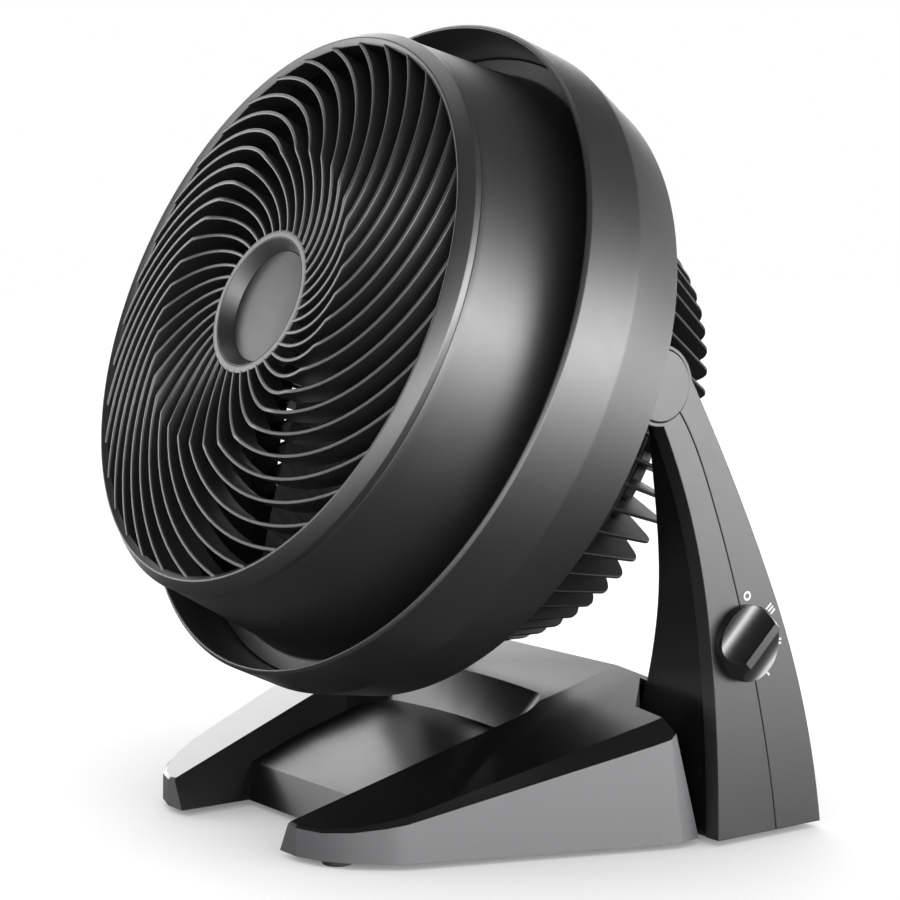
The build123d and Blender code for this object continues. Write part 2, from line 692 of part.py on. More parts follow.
def arm_cover(with_switch):
    """Outer cover of an arm before it is split along its seam."""
    skin_x = arm_outer_x - arm_wall
    hollow = arm_leg(-arm_wall, core_outer_x - 1, skin_x)
    hollow -= bar_x(arm_head_radius - 0.5, core_outer_x - 2, arm_outer_x, pivot_y, pivot_z)
    shell = arm_side(0, core_outer_x, arm_outer_x) - hollow
    shell += cover_screw_bars(screw_radius + boss_wall, core_outer_x, skin_x + 0.5)
    cuts = cover_screw_bars(screw_radius + screw_clearance, core_outer_x - 1, cover_screw_tip_x)
    cuts.append(bar_x(nut_well_radius, core_outer_x - 1, arm_outer_x + 1, pivot_y, pivot_z))
    cuts.append(pivot_bar(cap_radius + screw_clearance, arm_outer_x - cap_seat_depth, arm_outer_x + 1))
    if with_switch:
        cuts.append(knob_bar(switch_bushing_radius + screw_clearance, skin_x - 1, arm_outer_x + 1))
    return shell.cut(*cuts)


def behind_seam(step):
    """Everything behind the seam of the arm's covers, moved back by a step."""
    seam = Spline(*from_axis(arm_seam))
    far, low, top = pivot_y + base_reach, -50, pivot_z + 80
    start, end = seam @ 0, seam @ 1
    rest = Polyline(end, (0, end.Y, low), (0, far, low), (0, far, top), (0, start.Y - 10, top), start)
    face = make_face([seam] + list(rest.edges()))
    return Pos(0, step, 0) * slab_x(face, core_outer_x - 5, arm_outer_x + 5)


def arm_cover_front(cover):
    """Half of the cover in front of the seam."""
    return cover - behind_seam(-seam_gap / 2)


def arm_cover_rear(cover):
    """Half of the cover behind the seam."""
    return cover & behind_seam(seam_gap / 2)


def cover_screws():
    """Screws that hold the covers, put in from the arm's inner side."""
    heads = cover_screw_bars(screw_head_radius, screw_well_seat_x - screw_head_height, screw_well_seat_x)
    shanks = cover_screw_bars(screw_radius, screw_well_seat_x, cover_screw_tip_x - 0.5)
    return [head + shank for head, shank in zip(heads, shanks)]


# ---- tilt pivot, right-hand side ----
def pivot_bar(radius, x_from, x_to, bore=0.0):
    """Round piece on the tilt axis."""
    piece = bar_x(radius, x_from, x_to, pivot_y, pivot_z)
    return piece - bar_x(bore, x_from - 1, x_to + 1, pivot_y, pivot_z) if bore else piece


def pivot_pin():
    """Pin fixed in the head's boss."""
    return pivot_bar(pin_radius, pin_inner_x, nut_inner_x + nut_height)


def pivot_bushing():
    """Flanged bushing in the arm's head."""
    sleeve = pivot_bar(bushing_radius, arm_head_inner_x, core_outer_x)
    flange = pivot_bar(bushing_flange_radius, core_outer_x, core_outer_x + washer_thickness)
    return sleeve + flange - pivot_bar(pin_radius + running_clearance, 0, arm_outer_x)


def friction_washer():
    """Washer that the nut presses on the bushing, which makes the head stay where it is put."""
    return pivot_bar(bushing_flange_radius, nut_inner_x - washer_thickness, nut_inner_x, pin_radius + fit_gap)


def pivot_nut():
    """Hexagon nut on the pin."""
    face = Plane((nut_inner_x, pivot_y, pivot_z), z_dir=(1, 0, 0)) * RegularPolygon(nut_radius, 6)
    nut = extrude(face, amount=nut_height, dir=(1, 0, 0))
    return nut - pivot_bar(pin_radius, nut_inner_x - 1, arm_outer_x)


def pivot_cap():
    """Lightly crowned cap in the cover's recess."""
    cap = pivot_bar(cap_radius, arm_outer_x - cap_seat_depth, arm_outer_x + cap_crown)
    return fillet(cap.edges().sort_by(Axis.X)[-1], cap_crown * 0.9)


# ---- speed switch and knob ----
def knob_bar(radius, x_from, x_to):
    """Round bar on the knob's axis."""
    return bar_x(radius, x_from, x_to, knob_y, knob_z)


def switch_body():
    """Rotary switch behind the cover, with its threaded neck."""
    face_x = arm_outer_x - arm_wall
    half = switch_size / 2
    body = block((face_x - switch_body_depth, face_x), (knob_y - half, knob_y + half),
                 (knob_z - half, knob_z + half))
    neck = knob_bar(switch_bushing_radius, face_x, arm_outer_x + switch_bushing_reach)
    bore = knob_bar(switch_shaft_radius + running_clearance, face_x - 6, arm_outer_x + 10)
    return body + neck - bore


def switch_nut():
    """Nut that clamps the switch to the cover."""
    face = Plane((arm_outer_x, knob_y, knob_z), z_dir=(1, 0, 0)) * RegularPolygon(switch_nut_radius, 6)
    nut = extrude(face, amount=switch_nut_height, dir=(1, 0, 0))
    return nut - knob_bar(switch_bushing_radius, arm_outer_x - 1, arm_outer_x + 10)


def switch_shaft():
    """Shaft between the switch and the knob."""
    return knob_bar(switch_shaft_radius, arm_outer_x - arm_wall - 5, knob_floor_x + knob_grip_depth / 2)


def speed_knob():
    """Round knob with a scoop on each side of a grip that runs across it."""
    back = arm_outer_x + knob_gap
    knob = turned([(0, 0), (knob_radius, 0), (knob_radius, knob_skirt), (knob_crown_radius, knob_reach),
                   (0, knob_reach)])
    for step in (-knob_scoop_step, knob_scoop_step):
        scoop = Cylinder(knob_scoop_radius, 3 * knob_radius)
        knob -= Pos(step, 0, knob_scoop_height) * Rot(90, 0, 0) * scoop
    knob = Pos(back, knob_y, knob_z) * Rot(knob_rest_angle, 0, 0) * Rot(0, 90, 0) * knob
    knob -= knob_bar(knob_hollow_radius, back - 1, knob_floor_x)
    return knob - knob_bar(switch_shaft_radius, back - 1, knob_floor_x + knob_grip_depth / 2)


def dial_marks():
    """Painted marks O, I, II and III beside the knob."""
    marks = []
    for strokes, angle in enumerate(mark_angles):
        place = Pos(arm_outer_x, knob_y, knob_z) * Rot(angle, 0, 0)
        if strokes == 0:
            ring = bar_x(mark_height / 2, 0, mark_relief, mark_radius, 0)
            marks.append(place * (ring - bar_x(mark_height / 2 - mark_line, -1, 1, mark_radius, 0)))
        for stroke in range(strokes):
            middle = (stroke - (strokes - 1) / 2) * mark_pitch
            line = block((0, mark_relief), (mark_radius - mark_height / 2, mark_radius + mark_height / 2),
                         (middle - mark_line / 2, middle + mark_line / 2))
            marks.append(place * line)
    return marks


# ---- base ----
def roof_height(x, y):
    """Height of the base's sloping top on the right-hand side."""
    crest_x = crest_x_at_middle + crest_flare * y
    return crest_height_at_middle + crest_rise * y - roof_fall * (x - crest_x)


def skirt_edge(point):
    """Place on the drafted skirt, above a point of its outline, where the bevel starts."""
    height = roof_height(point.X, point.Y) - roof_bevel - bevel_growth * point.Y
    return Vector(point.X - skirt_draft * height, point.Y, height)


def side_slopes():
    """Point and outward direction of each flat of the right-hand skirt, and of the bevel above it."""
    curve = Spline(*[(x, y, 0) for x, y in skirt_outline])
    points = [curve @ (i / skirt_facets) for i in range(skirt_facets + 1)]
    slopes = []
    for point, after in zip(points, points[1:]):
        start, end = skirt_edge(point), skirt_edge(after)
        along = end - start
        inward = Vector(-along.Y, along.X, 0).normalized()
        slopes.append((start, along.cross(inward + Vector(0, 0, 1))))
        slopes.append((start, along.cross(start - point)))
    turn_start, turn_end = [Vector(x, y, 0) for x, y in skirt_end]
    slopes.append((turn_start, (turn_end - turn_start).cross(Vector(-skirt_draft, -recess_lean, 1))))
    return slopes


def rear_plane(height, x=0.0):
    """Frame on the base's sloping rear wall at a height."""
    lean = (base_rear_foot_y - base_rear_top_y) / roof_height(crest_x_at_middle, base_rear_top_y)
    return Plane((x, base_rear_foot_y - lean * height, height), z_dir=(0, 1, lean))


def skirt_and_roof(inset):
    """Block with the base's outline and sloping top, moved inward by an inset."""
    side, front = skirt_outline[-1][0] + 2 - inset, skirt_outline[0][1] + inset
    body = block((-side, side), (front, base_reach), (floor_clearance - inset, base_reach))
    crest = Vector(crest_x_at_middle, 0, crest_height_at_middle)
    slopes = side_slopes() + [(crest, Vector(roof_fall, -crest_rise - roof_fall * crest_flare, 1))]
    planes = [rear_plane(0), Plane((0, 0, crest_height_at_middle), z_dir=(0, -crest_rise, 1))]
    for point, normal in slopes:
        planes.append(Plane(point, z_dir=normal))
        planes.append(Plane((-point.X, point.Y, point.Z), z_dir=(-normal.X, normal.Y, normal.Z)))
    for plane in planes:
        body = split(body, bisect_by=plane.offset(-inset), keep=Keep.BOTTOM)
    return body


def opening_outline(height, inset):
    """Plan of the gap between the legs at one height, grown by an inset."""
    growth = inset * math.hypot(1, opening_draft) + opening_draft * height
    half = opening_half_width + growth
    back = opening_back_y + growth
    corner_y = back - opening_back_bow
    bow = ThreePointArc((half, corner_y), (0, back), (-half, corner_y))
    sides = Polyline((-half, corner_y), (-half, -250), (half, -250), (half, corner_y))
    plan = make_face([bow] + list(sides.edges()))
    corners = [v for v in plan.vertices() if v.Y > -200]
    return Pos(0, 0, height) * fillet(corners, opening_corner_radius + inset)


def opening_form(inset):
    """Gap between the legs, wider towards its top, grown by an inset."""
    return loft([opening_outline(-5, inset), opening_outline(110, inset)], ruled=True)


def tray_form(inset):
    """Low floor between the legs, as a prism across the base, moved inward by an inset."""
    points = [(0, y + inset, z - inset) for y, z in tray_floor]
    steep = math.hypot(1, tray_front_draft)
    foot_y = tray_front_y + inset * steep - 5 * tray_front_draft
    outline = Polyline((0, foot_y, -5), *points, (0, points[-1][1], -5), close=True)
    return slab_x(make_face(outline), -tray_half_width, tray_half_width)


def arm_recess(margin):
    """Recess in the base in front of the right arm's foot, grown by a margin."""
    (x, y), (next_x, next_y) = recess_corners
    space = block((next_x - 10, arm_outer_x + 10), (y - 20, recess_rear_y), (-10, base_reach))
    front = Plane((0, recess_front_y, 0), z_dir=(0, -1, -recess_lean))
    inner = Plane((x, y, 0), z_dir=(y - next_y, next_x - x, 0))
    for plane in (front, inner):
        space = split(space, bisect_by=plane.offset(margin), keep=Keep.BOTTOM)
    return space


def base_form(inset):
    """Outer form of the base, or the space inside its walls."""
    body = skirt_and_roof(inset)
    for part in (arm_form(fit_gap + inset), arm_recess(inset)):
        body = body.cut(part, mirrored(part))
    return (body - opening_form(inset)) + (body & tray_form(inset))


def post_holes(places):
    """Pilot holes for the screws that come up through the base plate."""
    return [disc(screw_radius + screw_clearance, 0, plate_top + screw_reach, x, y) for x, y in places]


def both_sides(places):
    """Places on the right and on the left."""
    return [(side * x, y) for x, y in places for side in (1, -1)]


def gland_place():
    """Frame on the outside of the base's rear wall, where the mains inlet is."""
    return rear_plane(gland_height, gland_x)


def base_shell():
    """Moulded top of the base: two legs, the tray between them and the rear cross-member."""
    outer = base_form(0)
    shell = outer - base_form(base_wall)
    places = both_sides(base_screw_places)
    posts = Part() + [disc(screw_radius + boss_wall, plate_top, base_reach, x, y) for x, y in places]
    shell += posts & outer
    holes = post_holes(places)
    holes.append(gland_place() * Cylinder(gland_radius, 4 * base_wall))
    return shell.cut(bridge(fit_gap), mirrored(bridge(fit_gap)), *holes)


def base_plate():
    """Flat bottom plate under the base, which runs on into both arms."""
    wide = (-base_reach, base_reach)
    slab = block(wide, wide, (floor_clearance, plate_top))
    arm = arm_cavity(fit_gap)
    plate = (base_form(base_wall + fit_gap) & slab) + (arm & slab) + (mirrored(arm) & slab)
    plate = plate + bridge(0) + mirrored(bridge(0))
    plate -= block(wide, wide, (-base_reach, floor_clearance))
    return plate.cut(*post_holes(both_sides(base_screw_places) + both_sides(arm_screw_places)))


def plate_screws(places):
    """Pan-head screws under the base plate."""
    head = disc(screw_head_radius, floor_clearance - screw_head_height, floor_clearance)
    screw = head + disc(screw_radius, floor_clearance, plate_top + screw_reach - 1)
    return [Pos(x, y, 0) * screw for x, y in both_sides(places)]


def rubber_feet():
    """Four round feet under the base plate."""
    return [chamfer(foot.edges().sort_by(Axis.Z)[0], 0.5)
            for foot in [disc(foot_radius, 0, floor_clearance, x, y) for x, y in both_sides(foot_places)]]


def cord_gland():
    """Flanged gland in the rear wall where the mains cord goes in."""
    flange = Cylinder(gland_flange_radius, gland_flange_thickness, align=(Align.CENTER, Align.CENTER, Align.MIN))
    neck = Cylinder(gland_radius - screw_clearance, gland_reach, align=(Align.CENTER, Align.CENTER, Align.MAX))
    bore = Cylinder(gland_bore_radius, 4 * gland_reach)
    return gland_place() * (flange + neck - bore)


# ---- wiring inside the base ----
def on_plate(box):
    """Box that stands on the base plate."""
    return block(box[0], box[1], (plate_top + box[2][0], plate_top + box[2][1]))


def capacitor():
    """Motor capacitor on the base plate."""
    return on_plate(capacitor_box)


def terminal_block():
    """Terminal block on the base plate."""
    return on_plate(terminal_box)


def switch_lead():
    """Bundle of wires from the terminal block through the arm's foot to the switch."""
    switch_low = knob_z - switch_size / 2
    start_z = plate_top + terminal_box[2][1] / 2
    low = plate_top + lead_radius + 0.5
    middle_y = (bridge_y[0] + bridge_y[1]) / 2
    up_x, up_y = arm_head_inner_x - 3.8, knob_y + 9.7
    start_x, start_y = terminal_box[0][1], (terminal_box[1][0] + terminal_box[1][1]) / 2
    route = [(start_x, start_y, start_z), (start_x + 22, start_y, start_z),
             (bridge_x[0], middle_y, low), (bridge_x[1] + 8, middle_y + 1, low),
             (up_x - 11, up_y - 1, 30), (up_x, up_y, 60), (up_x, up_y, switch_low)]
    path = FilletPolyline(*route, radius=[14, 20, 40, 30, 40])
    return sweep(Plane(path @ 0, z_dir=path % 0) * Circle(lead_radius), path=path)


# ---- write the nodes ----
os.makedirs("parts", exist_ok=True)

head_pieces = {
    "front_grille": front_grille(), "hub_bezel": hub_bezel(), "badge_disc": badge_disc(),
    "front_barrel": front_barrel(), "outer_ring": outer_ring(), "rear_grille": rear_grille(),
    "motor_cap": motor_cap(), "motor_rear_shell": motor_rear_shell(), "motor_front_shell": motor_front_shell(),
    "motor_bearings": motor_bearings(), "stator_core": stator_core(), "stator_windings": stator_windings(),
    "rotor_core": rotor_core(), "motor_shaft": motor_shaft(), "propeller": propeller(),
    "spinner_nut": spinner_nut(),
    "ring_screws": ring_of_screws(web_screw_circle, web_screw_count, -web_flange_thickness,
                                  screw_bite_height() - 0.4),
    "rear_grille_screws": ring_of_screws(grille_screw_circle, grille_screw_count, -web_flange_thickness,
                                         screw_bite_height() - 0.4),
    "motor_screws": ring_of_screws(motor_screw_circle, motor_screw_count,
                                   -motor_cup_floor_depth - motor_cup_wall,
                                   motor_screw_bite - motor_cup_floor_depth - 1),
}
for name, piece in head_pieces.items():
    save(name, in_head(piece))

save_pair("pivot_pin", pivot_pin())
save_pair("pivot_nut", pivot_nut())
save_pair("pivot_bushing", pivot_bushing())
save_pair("friction_washer", friction_washer())
save_pair("pivot_cap", pivot_cap())

save_pair("arm_core", arm_core())
switch_cover, plain_cover = arm_cover(True), arm_cover(False)
save("arm_cover_front_right", arm_cover_front(switch_cover))
save("arm_cover_rear_right", arm_cover_rear(switch_cover))
save("arm_cover_front_left", mirrored(arm_cover_front(plain_cover)))
save("arm_cover_rear_left", mirrored(arm_cover_rear(plain_cover)))
save_pair("cover_screws", cover_screws())

save("base_shell", base_shell())
save("base_plate", base_plate())
save("base_screws", plate_screws(base_screw_places))
save("arm_foot_screws", plate_screws(arm_screw_places))
save("rubber_feet", rubber_feet())
save("cord_gland", cord_gland())
save("capacitor", capacitor())
save("terminal_block", terminal_block())
save("switch_lead", switch_lead())

save("switch_body", switch_body())
save("switch_nut", switch_nut())
save("switch_shaft", switch_shaft())
save("speed_knob", speed_knob())
save("dial_marks", dial_marks())
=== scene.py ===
import math

import bmesh
import bpy
from mathutils import Matrix, Vector


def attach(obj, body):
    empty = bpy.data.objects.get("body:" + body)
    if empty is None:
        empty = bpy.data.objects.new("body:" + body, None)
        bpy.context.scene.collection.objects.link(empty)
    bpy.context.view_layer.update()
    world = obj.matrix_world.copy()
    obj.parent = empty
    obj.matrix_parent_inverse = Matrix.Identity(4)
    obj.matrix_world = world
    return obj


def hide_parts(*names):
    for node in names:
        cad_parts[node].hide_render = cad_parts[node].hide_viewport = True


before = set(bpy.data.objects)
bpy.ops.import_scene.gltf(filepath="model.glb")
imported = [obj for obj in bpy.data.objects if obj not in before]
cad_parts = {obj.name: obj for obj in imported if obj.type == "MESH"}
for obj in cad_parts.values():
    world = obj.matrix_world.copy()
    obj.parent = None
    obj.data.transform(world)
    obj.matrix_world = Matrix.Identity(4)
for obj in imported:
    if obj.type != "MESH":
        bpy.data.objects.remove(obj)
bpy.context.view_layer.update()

# An air circulator fan: a tilting ducted head on a two-armed base. Lengths below are in millimetres
# and are turned into metres when a mesh is made.
MM = 0.001

# ---- the head's own frame: heights run forward from the datum plane of the trough floor ----
TILT = math.radians(22.0)
PIVOT = Vector((0.0, 33.3, 242.1))
TO_PIVOT = Vector((0.0, 11.5, -40.4))           # from the datum plane's middle to the tilt axis
HEAD = (Matrix.Translation(PIVOT) @ Matrix.Rotation(math.pi / 2 - TILT, 4, "X")
        @ Matrix.Translation(-TO_PIVOT))

# ---- sizes that the pieces share; radii and heights are the head's ----
VANE_COUNT = 37
VANE_LEAD = 0.58                    # degrees of turn for each mm outward from the hub
VANE_LEAD_GAIN = 0.00086            # and what each mm adds to that
HUB_RADIUS, HUB_BORE, HUB_FLOOR, HUB_FRONT = 40.1, 36.1, 85.3, 95.3
BEZEL_BORE = 31.1
RIM_BORE, RIM_RADIUS = 147.8, 156.9
TROUGH_EDGE = 178.0                 # outer edge of the trough floor
FIN_COUNT = 62
FIN_REAR = -118.0
CUP_BORE, CAP_SEAT = 49.6, -113.0   # the motor cup in the rear grille, and where its cap sits
LEG_TIP_Y = -100.0                  # in front of this the base is only its two leg tips

# ---- finishes: sizes of the patterns in mm ----
MOTTLE_MM, RUB_MM, WAVE_MM, SCRATCH_MM = 35.7, 11.1, 28.6, 0.4
GRAIN_DEPTH, WAVE_DEPTH, SCRATCH_DEPTH = 0.2, 1.0, 0.1
RUB_SPREAD = 0.12                   # share by which the roughness varies
PLASTIC_IOR = 1.5

# ---- light ----
BANDS = (
    # spread (sine of its elevation), side, edges (cosines from that side), radiance outside and inside them
    (0.24, (0.94, 0.34), (0.62, 0.9), 1.2, 20.0),       # windows to the right
    (1.2, (-0.9, 0.44), (0.85, 0.97), 0.0, 3.0),        # a tall one to the rear left
    (0.3, (0.72, -0.69), (0.85, 0.97), 0.0, 9.0),       # and a small one to the front right
)
CEILING = 0.12
PAINTED_REFLECTION_REACH = (0.25, 1.6)       # metres from the middle over which the floor, as reflections see it, glows from dim to bright: a painted reflection
# Glow of the floor near and far as reflections see it: a painted reflection.
PAINTED_REFLECTION_NEAR, PAINTED_REFLECTION_FAR = 0.12, 5.0
FLOOR_GLOW, FLOOR_GLOW_SHARE = 1.5, 0.6
PAINTED_SHADOW_REACH, PAINTED_SHADOW_GLOW = 0.35, 0.25    # metres that the floor's painted shadow reaches, and its glow beneath, where that painted shadow is deepest
LAMP_PLACE, LAMP_AIM = Vector((-1.4, -0.9, 0.75)), Vector((0, 0, 0.2))
LAMP_SIZE, LAMP_POWER = 0.7, 9

MATH, VECTOR_MATH = "ShaderNodeMath", "ShaderNodeVectorMath"


# ------------------------------------------------------------------ materials
def linear(code):
    """sRGB hex colour as linear RGBA."""
    values = [int(code[i:i + 2], 16) / 255 for i in (0, 2, 4)]
    return [v / 12.92 if v <= 0.04045 else ((v + 0.055) / 1.055) ** 2.4 for v in values] + [1.0]


def node(tree, kind, inputs=(), **settings):
    """Adds a node. Its inputs, in order or by name, take numbers, sockets or the first output of a node."""
    new = tree.nodes.new(kind)
    for name, value in settings.items():
        setattr(new, name, value)
    for socket, value in inputs.items() if isinstance(inputs, dict) else enumerate(inputs):
        if isinstance(value, bpy.types.Node):
            value = value.outputs[0]
        if isinstance(value, bpy.types.NodeSocket):
            tree.links.new(value, new.inputs[socket])
        else:
            new.inputs[socket].default_value = value
    return new


def empty_material(name):
    """New material, its cleared tree and the Object coordinates in it."""
    material = bpy.data.materials.new(name)
    material.use_nodes = True
    tree = material.node_tree
    tree.nodes.clear()
    return material, tree, node(tree, "ShaderNodeTexCoord").outputs["Object"]


def plastic(name, colour, roughness, grain=0.0, grain_mm=0.5, mottle=0.06, coat=0.0, coat_roughness=0.1,
            specular=0.5, wave=0.0):
    """Moulded plastic: even colour with a trace of mottle, grain from the tool, and an uneven sheen."""
    material, tree, place = empty_material(name)
    cloud = node(tree, "ShaderNodeTexNoise", {"Vector": place, "Scale": 1 / (MOTTLE_MM * MM), "Detail": 4.0})
    darker, lighter = ([c * change for c in linear(colour)[:3]] + [1] for change in (1 - mottle, 1 + mottle))
    tone = node(tree, "ShaderNodeMix", {"Factor": cloud, 6: darker, 7: lighter}, data_type="RGBA")
    rub = node(tree, "ShaderNodeTexNoise",
               {"Vector": place, "Scale": 1 / (RUB_MM * MM), "Detail": 6.0, "Roughness": 0.65})
    smooth, rough = roughness * (1 - RUB_SPREAD), roughness * (1 + RUB_SPREAD)
    gloss = node(tree, "ShaderNodeMapRange", {"Value": rub, "To Min": smooth, "To Max": rough})
    shader = node(tree, "ShaderNodeBsdfPrincipled", {
        "Base Color": tone.outputs[2], "Roughness": gloss, "IOR": PLASTIC_IOR, "Specular IOR Level": specular,
        "Coat Weight": coat, "Coat Roughness": coat_roughness})
    reliefs = ((grain, grain_mm, 2.0, GRAIN_DEPTH), (wave, WAVE_MM, 1.0, WAVE_DEPTH))
    for strength, size, detail, depth in reliefs:
        if strength:
            relief = node(tree, "ShaderNodeTexNoise",
                          {"Vector": place, "Scale": 1 / (size * MM), "Detail": detail})
            bump = node(tree, "ShaderNodeBump",
                        {"Height": relief, "Strength": strength, "Distance": depth * MM})
            tree.links.new(bump.outputs[0], shader.inputs["Normal"])
    node(tree, "ShaderNodeOutputMaterial", {"Surface": shader})
    return material


def metal(name, colour, roughness):
    """Plated or turned metal with fine turning marks."""
    material, tree, place = empty_material(name)
    marks = node(tree, "ShaderNodeTexNoise", {"Vector": place, "Scale": 1 / (SCRATCH_MM * MM), "Detail": 5.0})
    gloss = node(tree, "ShaderNodeMapRange",
                 {"Value": marks, "To Min": roughness * 0.7, "To Max": roughness * 1.3})
    bump = node(tree, "ShaderNodeBump", {"Height": marks, "Strength": 0.15, "Distance": SCRATCH_DEPTH * MM})
    shader = node(tree, "ShaderNodeBsdfPrincipled", {
        "Base Color": linear(colour), "Metallic": 1.0, "Roughness": gloss, "Normal": bump})
    node(tree, "ShaderNodeOutputMaterial", {"Surface": shader})
    return material


# Moulded charcoal ABS with a fine spark-eroded grain: soft, wide highlights.
SATIN_ABS = plastic("satin_charcoal_abs", "121213", 0.42, grain=0.2, grain_mm=0.7, specular=0.8)
# The grille is the same plastic from a smoother tool, so the vanes' edges catch thin lights.
GRILLE_ABS = plastic("grille_charcoal_abs", "151516", 0.38, grain=0.1, grain_mm=0.6, specular=0.8)
# High-gloss black on the base's top and the arms' front faces: mirrors the room with a slight waviness.
GLOSS_ABS = plastic("gloss_black_abs", "0d0d0e", 0.24, wave=0.02)
# The covers on the arms' outer sides are satin and a little lighter.
COVER_ABS = plastic("satin_grey_abs", "1a1a1b", 0.42, grain=0.2, grain_mm=0.7, specular=0.6)
# The skirt under the base's top is the same satin plastic, in a lighter grey that is painted light: it stands
# in for the bright floor and windows that the upright sides reflect.
PAINTED_LIGHT_SKIRT_ABS = plastic("satin_skirt_abs", "444446", 0.5, grain=0.2, grain_mm=0.7, specular=0.7)
# The rear grille faces away from the room: plain black plastic, made darker and duller than the rest as
# painted shade.
PAINTED_SHADE_CAGE_ABS = plastic("black_cage_abs", "0b0b0c", 0.5, grain=0.1, grain_mm=0.6, specular=0.3)
# The hub's plain disc is greyer and flatter than what surrounds it.
BADGE_ABS = plastic("grey_badge_abs", "28292b", 0.42, grain=0.2, grain_mm=0.5)
# The knob is polished: narrow lights along its scoops.
KNOB_ABS = plastic("gloss_knob_abs", "101011", 0.24, specular=0.6)
# The blades are polished black with slightly wavy reflections.
BLADE_ABS = plastic("gloss_blade_abs", "141517", 0.2, coat=0.3, coat_roughness=0.1, wave=0.02)
# Flat white pad-printed ink.
MARK_INK = plastic("white_pad_print", "a8a8a7", 0.5, mottle=0.02)
# Moulded rubber: almost no shine.
RUBBER = plastic("black_foot_rubber", "141414", 0.75, grain=0.4, grain_mm=0.8)
# Undyed nylon of the parts inside: creamy, half matt.
NYLON = plastic("natural_nylon", "c9c6bb", 0.45)
# Soft black sleeve and gland.
SLEEVE = plastic("black_wire_sleeve", "1c1c1d", 0.6, grain=0.4, grain_mm=1.0)
# Zinc-plated steel of screws, pins and shafts: pale and bright.
PLATED_STEEL = metal("zinc_plated_steel", "b9bbbd", 0.3)
# The motor's case is enamelled, so it shines like lacquer and not like metal.
CASE_STEEL = plastic("black_enamelled_steel", "1d1e20", 0.3, coat=0.3)
# Stamped sheets of the cores: greyer and duller than plating.
CORE_STEEL = metal("stacked_core_steel", "8c8e92", 0.45)
# Enamelled wire.
COPPER = metal("enamelled_copper", "9a5a32", 0.35)
# Sintered bronze of bearings and bushings: dull yellow.
BRONZE = metal("sintered_bronze", "a08048", 0.5)

FINISH = {
    "front_grille": GRILLE_ABS, "hub_bezel": SATIN_ABS, "badge_disc": BADGE_ABS, "front_barrel": SATIN_ABS,
    "outer_ring": SATIN_ABS, "rear_grille": PAINTED_SHADE_CAGE_ABS, "motor_cap": SATIN_ABS, "ring_screws": PLATED_STEEL,
    "rear_grille_screws": PLATED_STEEL, "motor_screws": PLATED_STEEL, "motor_rear_shell": CASE_STEEL,
    "motor_front_shell": CASE_STEEL, "motor_bearings": BRONZE, "stator_core": CORE_STEEL,
    "stator_windings": COPPER, "rotor_core": CORE_STEEL, "motor_shaft": PLATED_STEEL, "propeller": BLADE_ABS,
    "spinner_nut": BLADE_ABS, "base_shell": GLOSS_ABS, "base_plate": SATIN_ABS, "base_screws": PLATED_STEEL,
    "arm_foot_screws": PLATED_STEEL, "rubber_feet": RUBBER, "cord_gland": SLEEVE, "capacitor": NYLON,
    "terminal_block": NYLON, "switch_lead": SLEEVE, "switch_body": NYLON, "switch_nut": PLATED_STEEL,
    "switch_shaft": PLATED_STEEL, "speed_knob": KNOB_ABS, "dial_marks": MARK_INK,
}
for side in ("right", "left"):
    FINISH.update({
        f"pivot_pin_{side}": PLATED_STEEL, f"pivot_nut_{side}": PLATED_STEEL, f"pivot_bushing_{side}": BRONZE,
        f"friction_washer_{side}": NYLON, f"pivot_cap_{side}": COVER_ABS, f"arm_core_{side}": GLOSS_ABS,
        f"arm_cover_front_{side}": COVER_ABS, f"arm_cover_rear_{side}": COVER_ABS,
        f"cover_screws_{side}": PLATED_STEEL})
for name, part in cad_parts.items():
    part.data.materials.clear()
    part.data.materials.append(FINISH[name])


# ------------------------------------------------------------------ mesh helpers
def finished(name, mesh, body, material, replaced):
    """Makes a piece from a mesh that already lies in the object's frame, in metres."""
    piece = bpy.data.objects.new(name, mesh)
    bpy.context.scene.collection.objects.link(piece)
    mesh.materials.clear()
    mesh.materials.append(material)
    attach(piece, body)
    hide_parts(replaced)
    return piece


def takes_painted_side_light(face):
    """Whether an upright face looks sideways away from the object's middle, or forward at a leg's tip; these
    faces take the lighter finish that is painted light.
    """
    outward = face.normal.x * math.copysign(1, face.center.x)
    leg_tip = face.center.y < LEG_TIP_Y * MM and face.normal.y < -0.5
    return abs(face.normal.z) < 0.4 and (outward > 0.3 or leg_tip)


def softened(cad_name, width, body, angle=30.0, painted_light_finish=None):
    """Copy of a CAD piece with its sharp edges rounded and its curved faces smooth.

    A lighter side finish, painted light, goes on the upright faces round the piece's outside and on the front
    faces of the leg tips."""
    weld, flat = 2e-6, math.radians(0.4)
    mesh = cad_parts[cad_name].data.copy()
    work = bmesh.new()
    work.from_mesh(mesh)
    bmesh.ops.remove_doubles(work, verts=work.verts, dist=weld)
    bmesh.ops.dissolve_limit(work, angle_limit=flat, verts=work.verts, edges=work.edges)
    work.to_mesh(mesh)
    work.free()
    mesh.name = f"{cad_name}_skin"
    piece = finished(f"{cad_name}_skin", mesh, body, FINISH[cad_name], cad_name)
    bevel = piece.modifiers.new("edge", "BEVEL")
    bevel.width = width * MM
    bevel.segments = 3
    bevel.limit_method = "ANGLE"
    bevel.angle_limit = math.radians(angle)
    bevel.use_clamp_overlap = True
    if painted_light_finish:
        mesh.materials.append(painted_light_finish)
    for face in mesh.polygons:
        face.use_smooth = True
        if painted_light_finish and takes_painted_side_light(face):
            face.material_index = 1
    mesh.set_sharp_from_angle(angle=math.radians(angle))
    weighted = piece.modifiers.new("normals", "WEIGHTED_NORMAL")
    weighted.keep_sharp = True
    weighted.weight = 60


